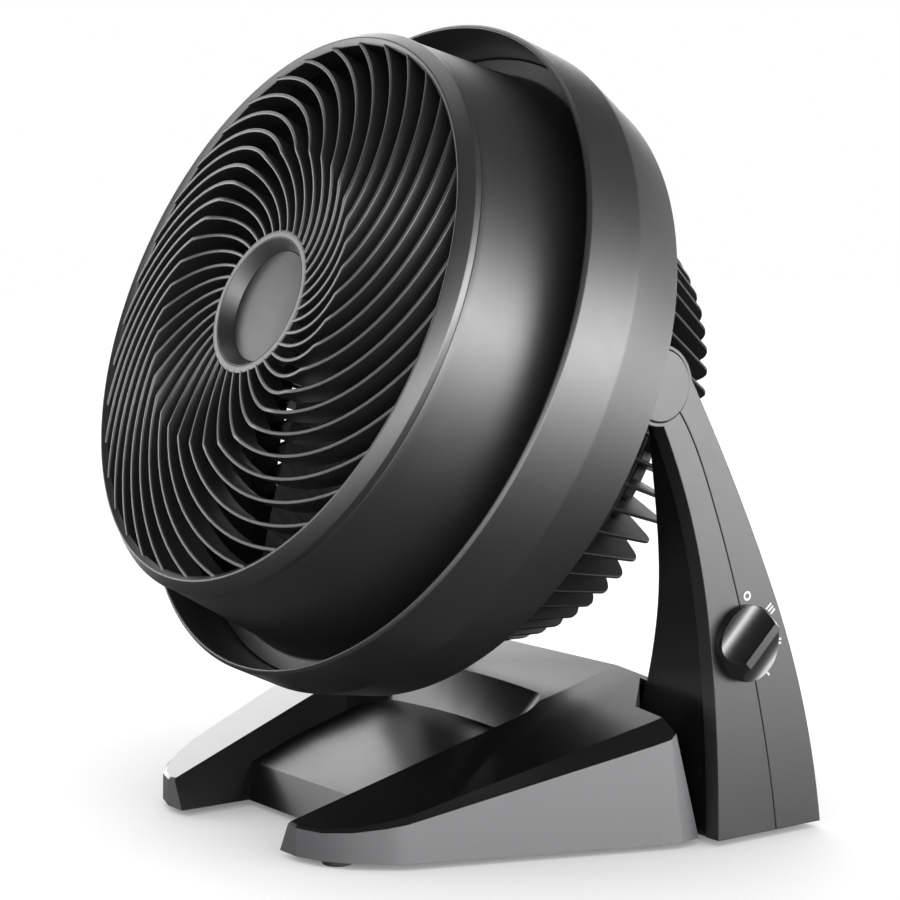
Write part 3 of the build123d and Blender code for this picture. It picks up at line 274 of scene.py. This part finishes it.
def mesh_of(name, points, faces, place):
    """Mesh from millimetre points moved to their place, with doubles merged and faces turned outward."""
    mesh = bpy.data.meshes.new(name)
    mesh.from_pydata([tuple(point) for point in points], [], faces)
    work = bmesh.new()
    work.from_mesh(mesh)
    bmesh.ops.remove_doubles(work, verts=work.verts, dist=1e-3)
    loose = [edge for edge in work.edges if not edge.link_faces]
    bmesh.ops.delete(work, geom=loose, context="EDGES")
    bmesh.ops.transform(work, verts=work.verts, matrix=Matrix.Scale(MM, 4) @ place)
    bmesh.ops.recalc_face_normals(work, faces=work.faces)
    work.to_mesh(mesh)
    work.free()
    for face in mesh.polygons:
        face.use_smooth = True
    mesh.set_sharp_from_angle(angle=math.radians(35))
    return mesh


def rounded(corners, steps=4):
    """Outline with each (a, b, radius) corner replaced by a short arc."""
    points = []
    for index, (a, b, radius) in enumerate(corners):
        here = Vector((a, b))
        before = (Vector(corners[index - 1][:2]) - here).normalized()
        after = (Vector(corners[(index + 1) % len(corners)][:2]) - here).normalized()
        if radius <= 0:
            points.append(here)
            continue
        half = before.angle(after) / 2
        reach = radius / math.tan(half)
        middle = here + (before + after).normalized() * (radius / math.sin(half))
        start, end = here + before * reach - middle, here + after * reach - middle
        turn = start.angle_signed(end)
        for step in range(steps + 1):
            angle = -turn * step / steps
            points.append(middle + Vector((start.x * math.cos(angle) - start.y * math.sin(angle),
                                           start.x * math.sin(angle) + start.y * math.cos(angle))))
    return points


def spaced(first, last, steps):
    """Evenly spaced values with both ends."""
    return [first + i * (last - first) / steps for i in range(steps + 1)]


def lathe(outline, sides, along_x=False):
    """Points and faces of a closed outline of (radius, height) turned about its axis, which is Z or X."""
    points, faces = [], []
    count = len(outline)
    for side in range(sides):
        angle = 2 * math.pi * side / sides
        for radius, height in outline:
            a, b = radius * math.cos(angle), radius * math.sin(angle)
            points.append((height, a, b) if along_x else (a, b, height))
    for side in range(sides):
        for index in range(count):
            one, two = side * count, ((side + 1) % sides) * count
            after = (index + 1) % count
            faces.append((one + index, one + after, two + after, two + index))
    return points, faces


def merged(name, meshes):
    """One mesh from several."""
    work = bmesh.new()
    for mesh in meshes:
        work.from_mesh(mesh)
    out = bpy.data.meshes.new(name)
    work.to_mesh(out)
    work.free()
    return out


def arc_height(first, second, third):
    """Height of the circle through three (radius, height) points, as a function of the radius."""
    (x1, y1), (x2, y2), (x3, y3) = first, second, third
    scale = 2 * (x1 * (y2 - y3) + x2 * (y3 - y1) + x3 * (y1 - y2))
    squares = [x * x + y * y for x, y in (first, second, third)]
    cx = (squares[0] * (y2 - y3) + squares[1] * (y3 - y1) + squares[2] * (y1 - y2)) / scale
    cy = (squares[0] * (x3 - x2) + squares[1] * (x1 - x3) + squares[2] * (x2 - x1)) / scale
    size = math.hypot(x1 - cx, y1 - cy)
    sign = 1 if y2 > cy else -1
    return lambda x: cy + sign * math.sqrt(max(size * size - (x - cx) ** 2, 0))


# ------------------------------------------------------------------ repeated pieces
def copies_tree():
    """Turns a straight blank into a spiral and repeats it about the head's axis.

    The blank's X is the radius, Y is across its thickness and Z is the height."""
    tree = bpy.data.node_groups.new("copies_about_axis", "GeometryNodeTree")
    sockets = {"Blank": "Geometry", "Count": "Int", "First Angle": "Float", "Root Radius": "Float",
               "Lead": "Float", "Lead Gain": "Float", "Finish": "Material"}
    for label, kind in sockets.items():
        tree.interface.new_socket(label, in_out="INPUT", socket_type=f"NodeSocket{kind}")
    tree.interface.new_socket("Copies", in_out="OUTPUT", socket_type="NodeSocketGeometry")
    given = node(tree, "NodeGroupInput").outputs

    # How far the spiral has turned at each radius, and how steeply it runs there.
    radius, across, height = node(tree, "ShaderNodeSeparateXYZ",
                                  (node(tree, "GeometryNodeInputPosition"),)).outputs
    out = node(tree, MATH, (radius, given["Root Radius"]), operation="SUBTRACT")
    gain = node(tree, MATH, (out, given["Lead Gain"]), operation="MULTIPLY")
    lead = node(tree, MATH, (given["Lead"], gain), operation="ADD")
    turn = node(tree, MATH, (node(tree, MATH, (out, lead), operation="MULTIPLY"),), operation="RADIANS")
    rate = node(tree, MATH, (gain, 2.0, given["Lead"]), operation="MULTIPLY_ADD")
    rate = node(tree, MATH, (rate,), operation="RADIANS")
    slope = node(tree, MATH, (rate, radius), operation="MULTIPLY")

    # The blank's points go out along the turned radius and across the spiral's own direction.
    sine = node(tree, MATH, (turn,), operation="SINE")
    cosine = node(tree, MATH, (turn,), operation="COSINE")
    minus_sine = node(tree, MATH, (sine, -1.0), operation="MULTIPLY")
    outward = node(tree, "ShaderNodeCombineXYZ", (cosine, sine))
    sideways = node(tree, "ShaderNodeCombineXYZ", (minus_sine, cosine))
    lean = node(tree, VECTOR_MATH, {0: outward, "Scale": slope}, operation="SCALE")
    normal = node(tree, VECTOR_MATH, (sideways, lean), operation="SUBTRACT")
    normal = node(tree, VECTOR_MATH, (normal,), operation="NORMALIZE")
    reach = node(tree, VECTOR_MATH, {0: outward, "Scale": radius}, operation="SCALE")
    aside = node(tree, VECTOR_MATH, {0: normal, "Scale": across}, operation="SCALE")
    flat = node(tree, VECTOR_MATH, (reach, aside), operation="ADD")
    lift = node(tree, "ShaderNodeCombineXYZ", {"Z": height})
    spot = node(tree, VECTOR_MATH, (flat, lift), operation="ADD")
    bent = node(tree, "GeometryNodeSetPosition", {"Geometry": given["Blank"], "Position": spot})

    points = node(tree, "GeometryNodePoints", {"Count": given["Count"]})
    step = node(tree, MATH, (2 * math.pi, given["Count"]), operation="DIVIDE")
    start = node(tree, MATH, (given["First Angle"],), operation="RADIANS")
    angle = node(tree, MATH, (node(tree, "GeometryNodeInputIndex"), step, start), operation="MULTIPLY_ADD")
    turned = node(tree, "ShaderNodeCombineXYZ", {"Z": angle})
    repeated = node(tree, "GeometryNodeInstanceOnPoints",
                    {"Points": points, "Instance": bent, "Rotation": turned})
    real = node(tree, "GeometryNodeRealizeInstances", {"Geometry": repeated})
    named = node(tree, "GeometryNodeSetMaterial", {"Geometry": real, "Material": given["Finish"]})
    node(tree, "NodeGroupOutput", {"Copies": named})
    return tree


COPIES = copies_tree()


def copies(name, blank, **values):
    """Runs the tree on a blank in millimetres and returns the plain mesh in the object's frame."""
    holder = bpy.data.objects.new(name, blank)
    bpy.context.scene.collection.objects.link(holder)
    modifier = holder.modifiers.new("copies", "NODES")
    modifier.node_group = COPIES
    for item in COPIES.interface.items_tree:
        key = item.name.lower().replace(" ", "_")
        if item.in_out == "INPUT" and key in values:
            modifier[item.identifier] = values[key]
    holder.update_tag()
    seen = holder.evaluated_get(bpy.context.evaluated_depsgraph_get())
    mesh = bpy.data.meshes.new_from_object(seen)
    holder.modifiers.clear()
    bpy.data.objects.remove(holder)
    mesh.transform(Matrix.Scale(MM, 4) @ HEAD)
    for face in mesh.polygons:
        face.use_smooth = True
    mesh.set_sharp_from_angle(angle=math.radians(40))
    return mesh


def bar(name, stations, section):
    """Closed bar: at each (x, z) station the section's (y, z) points are moved there."""
    points, faces = [], []
    count = len(section(0))
    for index, (x, z) in enumerate(stations):
        for y, dx, dz in section(index):
            points.append((x + dx, y, z + dz))
    for index in range(len(stations) - 1):
        for k in range(count):
            one, two, after = index * count, (index + 1) * count, (k + 1) % count
            faces.append((one + k, one + after, two + after, two + k))
    faces.append(tuple(range(count)))
    faces.append(tuple(range((len(stations) - 1) * count, len(stations) * count)))
    mesh = bpy.data.meshes.new(name)
    mesh.from_pydata(points, [], faces)
    work = bmesh.new()
    work.from_mesh(mesh)
    bmesh.ops.recalc_face_normals(work, faces=work.faces)
    work.to_mesh(mesh)
    work.free()
    return mesh


# ------------------------------------------------------------------ head
def vane_blank():
    """Straight vane: rounded front edge, slight draft, front edge following the dished grille."""
    crest = (82.0, 103.5)
    near_hub = arc_height((HUB_BORE + 1.0, HUB_FRONT), (62.0, 98.2), crest)
    near_rim = arc_height(crest, (118.0, 96.7), (RIM_BORE + 3.0, 88.8))
    radii = spaced(HUB_BORE + 2.4, crest[0], 11) + spaced(crest[0], RIM_BORE + 1.5, 16)[1:]
    stations = [(r, near_hub(r) if r <= crest[0] else near_rim(r)) for r in radii]
    front, rear, edge, depth = 1.1, 0.75, 0.75, 15.0
    arc = [(front - edge + edge * math.sin(a), -edge + edge * math.cos(a))
           for a in (math.radians(v) for v in (90, 60, 30, 0))]
    half = [(rear - 0.3, -depth), (rear, -depth + 0.3)] + arc
    section = [(y, 0, z) for y, z in half] + [(-y, 0, z) for y, z in reversed(half)]
    return bar("vane_blank", stations, lambda index: section)


def front_grille():
    """Spiral vanes, hub cup and rim ring as one moulding."""
    vanes = copies("vanes", vane_blank(), count=VANE_COUNT, first_angle=93.1, root_radius=HUB_RADIUS,
                   lead=VANE_LEAD, lead_gain=VANE_LEAD_GAIN, finish=GRILLE_ABS)
    rim = rounded([(RIM_BORE, 76.1, 0.2), (RIM_BORE, 88.1, 0.8), (151.3, 91.0, 1.0), (RIM_RADIUS, 83.9, 0.9),
                   (RIM_RADIUS, 80.1, 0.3), (153.6, 80.1, 0), (153.6, 76.1, 0.3)])
    hub = rounded([(0, 82.8, 0), (HUB_RADIUS, 82.8, 0.5), (HUB_RADIUS, HUB_FRONT, 0.7),
                   (HUB_BORE, HUB_FRONT, 0.5), (HUB_BORE, HUB_FLOOR, 0), (0, HUB_FLOOR, 0)])
    meshes = [vanes, mesh_of("rim", *lathe(rim, 240), HEAD), mesh_of("hub", *lathe(hub, 120), HEAD)]
    finished("front_grille_form", merged("front_grille_form", meshes), "head", GRILLE_ABS, "front_grille")


def turned_piece(cad_name, corners, sides):
    """Piece of the head turned about its axis, in place of a CAD piece."""
    name = f"{cad_name}_form"
    finished(name, mesh_of(name, *lathe(rounded(corners), sides), HEAD), "head", FINISH[cad_name], cad_name)


def barrel_and_ring():
    """Barrel with its trough floor, and the double-walled ring outside it."""
    front, wall, floor_top = 79.4, 3.0, 3.0
    side = arc_height((80.0, RIM_RADIUS), (45.0, 161.6), (0.0, 168.2))
    outer = [(side(h), h, 0) for h in spaced(front, 6.5, 24)]
    floor = [(side(floor_top) + 0.2, floor_top, 2.2), (TROUGH_EDGE, floor_top, 0.3), (TROUGH_EDGE, 0.0, 0)]
    inner = [(side(h) - wall, h, 0) for h in spaced(0.0, front, 12)]
    tongue = [(154.0, 80.0, 0), (156.7, 80.0, 0.3)]
    turned_piece("front_barrel", outer + floor + inner + tongue, 240)
    outside = [(182.3, 35.6, 0.8), (185.0, 33.0, 1.2), (186.5, 1.5, 8.0), (178.0, -34.0, 0.9)]
    inside = [(175.4, -34.0, 0.5), (183.9, 1.5, 5.0), (182.9, 22.0, 2.0), (180.5, 0.0, 0)]
    flange = [(180.5, -2.6, 0), (172.4, -2.6, 0.3), (172.4, 0.0, 0), (178.3, 0.0, 0)]
    turned_piece("outer_ring", outside + inside + flange, 240)


def hub_face():
    """Conical bezel and plain disc in the hub cup."""
    turned_piece("hub_bezel", [(BEZEL_BORE, HUB_FLOOR, 0), (HUB_BORE, HUB_FLOOR, 0), (HUB_BORE, 95.2, 0.3),
                               (35.6, 95.2, 0.2), (BEZEL_BORE, 88.0, 0.3)], 120)
    turned_piece("badge_disc", [(0, HUB_FLOOR, 0), (31.0, HUB_FLOOR, 0), (31.0, 88.1, 0.5),
                                (0, 88.3, 0)], 120)


def fin_blank():
    """Rounded bar that follows the side of the rear grille and turns in to the motor cup."""
    outer = rounded([(152.7, -26.0, 0), (152.7, -34.0, 3.0), (137.0, -80.0, 20.0), (123.0, FIN_REAR, 12.0),
                     (51.0, FIN_REAR, 0)], 5)
    path, inward = [], []
    for index, point in enumerate(outer):
        before, after = outer[max(index - 1, 0)], outer[min(index + 1, len(outer) - 1)]
        along = (after - before).normalized()
        path.append((point.x, point.y))
        inward.append(Vector((along.y, -along.x)))
    half, edge, depth = 1.0, 0.45, 20.0

    def section(index):
        inner = inward[index]
        loop = [(half - edge, 0), (half, edge), (half - 0.1, depth - 0.3), (half - 0.4, depth)]
        loop += [(-y, d) for y, d in reversed(loop)]
        return [(y, inner.x * d, inner.y * d) for y, d in loop]

    return bar("fin_blank", path, section)


def rear_grille():
    """Radial fins, throat, hoops, motor cup and pivot bosses as one moulding."""
    fins = copies("fins", fin_blank(), count=FIN_COUNT, first_angle=90.0, root_radius=0.0, lead=0.0,
                  lead_gain=0.0, finish=PAINTED_SHADE_CAGE_ABS)
    throat = [(150.7, -34, 0.4), (153.2, -34, 0.4), (154.1, -17, 2), (165.5, -2.6, 0), (171.8, -2.6, 0.3),
              (171.8, 0, 0), (164.4, 0, 0), (151.6, -16, 2)]
    side_hoop = [(136.0, -68, 0.6), (140.0, -68, 0.6), (140.0, -64, 0.6), (136.0, -64, 0.6)]
    rear_hoop = [(86.0, -117, 0.6), (90.0, -117, 0.6), (90.0, -110, 0.6), (86.0, -110, 0.6)]
    cup = [(CUP_BORE, -117, 0.4), (52.0, -117, 0.6), (52.0, -62, 0.6), (CUP_BORE, -62, 0.4)]
    cup_floor = [(CUP_BORE, -90, 0), (0, -90, 0), (0, -92.4, 0), (CUP_BORE, -92.4, 0)]
    cap_seat = [(CUP_BORE, -111, 0), (47.4, -111, 0), (47.4, CAP_SEAT, 0), (CUP_BORE, CAP_SEAT, 0)]
    meshes = [fins]
    for ring in (throat, side_hoop, rear_hoop, cup + cup_floor + cap_seat):
        meshes.append(mesh_of("hoop", *lathe(rounded(ring), 3 * FIN_COUNT), HEAD))
    boss = rounded([(0, 140, 0), (16, 140, 1), (16, 154.5, 1.2), (0, 154.5, 0)])
    for sign in (1, -1):
        place = HEAD @ Matrix.Translation(TO_PIVOT) @ Matrix.Scale(sign, 4, (1, 0, 0))
        meshes.append(mesh_of("boss", *lathe(boss, 64, along_x=True), place))
    finished("rear_grille_form", merged("rear_grille_form", meshes), "head", PAINTED_SHADE_CAGE_ABS, "rear_grille")
    turned_piece("motor_cap", [(0, CAP_SEAT, 0), (0, -117.2, 0), (39.4, -116.8, 3), (49.2, -115.6, 0.6),
                               (49.2, CAP_SEAT, 0)], 96)


# ------------------------------------------------------------------ base, arms, knob
def shells():
    """Base and arms: the CAD forms with rounded edges."""
    # The base's upright sides and leg tips get the lighter grey of painted light.
    softened("base_shell", 1.6, "base", angle=24.0, painted_light_finish=PAINTED_LIGHT_SKIRT_ABS)
    for side in ("right", "left"):
        softened(f"arm_core_{side}", 0.8, "base")
        softened(f"arm_cover_front_{side}", 0.7, "base")
        softened(f"arm_cover_rear_{side}", 0.7, "base")
        softened(f"pivot_cap_{side}", 0.2, "base")
    softened("speed_knob", 0.5, "knob")
    softened("propeller", 0.3, "rotor")


def white_floor():
    """White paper floor that glows: ambient occlusion dims its glow near the object into a painted shadow,
    and reflections see it glow brighter with distance, a painted reflection.
    """
    mesh = bpy.data.meshes.new("floor")
    reach = 8.0
    corners = [(-reach, -reach, 0), (reach, -reach, 0), (reach, reach, 0), (-reach, reach, 0)]
    mesh.from_pydata(corners, [], [(0, 1, 2, 3)])
    floor = bpy.data.objects.new("floor", mesh)
    bpy.context.scene.collection.objects.link(floor)
    paper, tree, place = empty_material("white_paper_floor")
    matt = node(tree, "ShaderNodeBsdfDiffuse", {"Color": linear("f2f2f2")})
    # The floor's glow is dimmed where ambient occlusion finds the object near: a painted shadow.
    painted_shadow_mask = node(tree, "ShaderNodeAmbientOcclusion", {"Distance": PAINTED_SHADOW_REACH}, samples=8).outputs["AO"]
    painted_shadow_level = node(tree, "ShaderNodeMapRange", {"Value": painted_shadow_mask, "To Min": PAINTED_SHADOW_GLOW, "To Max": FLOOR_GLOW})
    glow = node(tree, "ShaderNodeEmission", {"Strength": painted_shadow_level})
    ray = node(tree, "ShaderNodeLightPath").outputs
    share = node(tree, MATH, (ray["Is Camera Ray"], FLOOR_GLOW_SHARE), operation="MULTIPLY")
    seen = node(tree, "ShaderNodeMixShader", (share, matt, glow))
    # Reflections see a glow that is dim near the object and bright far off: a painted reflection.
    away = node(tree, VECTOR_MATH, (place,), operation="LENGTH").outputs["Value"]
    level = node(tree, "ShaderNodeMapRange",
                 {"Value": away, "From Min": PAINTED_REFLECTION_REACH[0], "From Max": PAINTED_REFLECTION_REACH[1],
                  "To Min": PAINTED_REFLECTION_NEAR, "To Max": PAINTED_REFLECTION_FAR}, interpolation_type="SMOOTHSTEP")
    painted_reflection = node(tree, "ShaderNodeEmission", {"Strength": level})
    out = node(tree, "ShaderNodeMixShader", (ray["Is Glossy Ray"], seen, painted_reflection))
    node(tree, "ShaderNodeOutputMaterial", {"Surface": out})
    mesh.materials.append(paper)


def studio():
    """Surroundings: white to the camera, and for light bright windows under a dim ceiling."""
    world = bpy.data.worlds.new("studio")
    bpy.context.scene.world = world
    world.use_nodes = True
    tree = world.node_tree
    tree.nodes.clear()
    way = node(tree, "ShaderNodeTexCoord").outputs["Generated"]
    x, y, z = node(tree, "ShaderNodeSeparateXYZ", (way,)).outputs
    z_squared = node(tree, MATH, (z, z), operation="MULTIPLY")
    flat = node(tree, MATH, (1.0, z_squared), operation="SUBTRACT")
    flat = node(tree, MATH, (flat,), operation="SQRT")
    lit = CEILING
    for spread, side, edges, weak, strong in BANDS:
        fall = node(tree, MATH, (z_squared, -1 / spread ** 2), operation="MULTIPLY")
        band = node(tree, MATH, (fall,), operation="EXPONENT")
        along_x = node(tree, MATH, (x, side[0]), operation="MULTIPLY")
        across = node(tree, MATH, (y, side[1], along_x), operation="MULTIPLY_ADD")
        cosine = node(tree, MATH, (across, flat), operation="DIVIDE")
        weight = node(tree, "ShaderNodeMapRange",
                      {"Value": cosine, "From Min": edges[0], "From Max": edges[1], "To Min": weak,
                       "To Max": strong}, interpolation_type="SMOOTHSTEP")
        lit = node(tree, MATH, (band, weight, lit), operation="MULTIPLY_ADD")
    camera_ray = node(tree, "ShaderNodeLightPath").outputs["Is Camera Ray"]
    level = node(tree, "ShaderNodeMix", {"Factor": camera_ray, 2: lit, 3: 1.0}, data_type="FLOAT")
    sky = node(tree, "ShaderNodeBackground", {"Color": (1, 1, 1, 1), "Strength": level})
    node(tree, "ShaderNodeOutputWorld", {"Surface": sky})

    lamp = bpy.data.lights.new("front_left", "AREA")
    lamp.shape = "SQUARE"
    lamp.size = LAMP_SIZE
    lamp.energy = LAMP_POWER
    light = bpy.data.objects.new("front_left", lamp)
    light.location = LAMP_PLACE
    light.rotation_euler = (LAMP_AIM - LAMP_PLACE).to_track_quat("-Z", "Y").to_euler()
    bpy.context.scene.collection.objects.link(light)


def camera():
    """Long lens from the front right, a little above the object's middle."""
    place = Vector((1068.5, -752.0, 325.0))
    backward = Vector((0.8043, -0.5863, 0.0964))
    lens = bpy.data.cameras.new("camera")
    lens.lens = 95.5
    lens.sensor_width = 36.0
    eye = bpy.data.objects.new("camera", lens)
    eye.location = place * MM
    eye.rotation_euler = (-backward).to_track_quat("-Z", "Y").to_euler()
    bpy.context.scene.collection.objects.link(eye)
    bpy.context.scene.camera = eye
    bpy.context.scene.view_settings.view_transform = "Standard"


front_grille()
barrel_and_ring()
hub_face()
rear_grille()
shells()
camera()
white_floor()
studio()
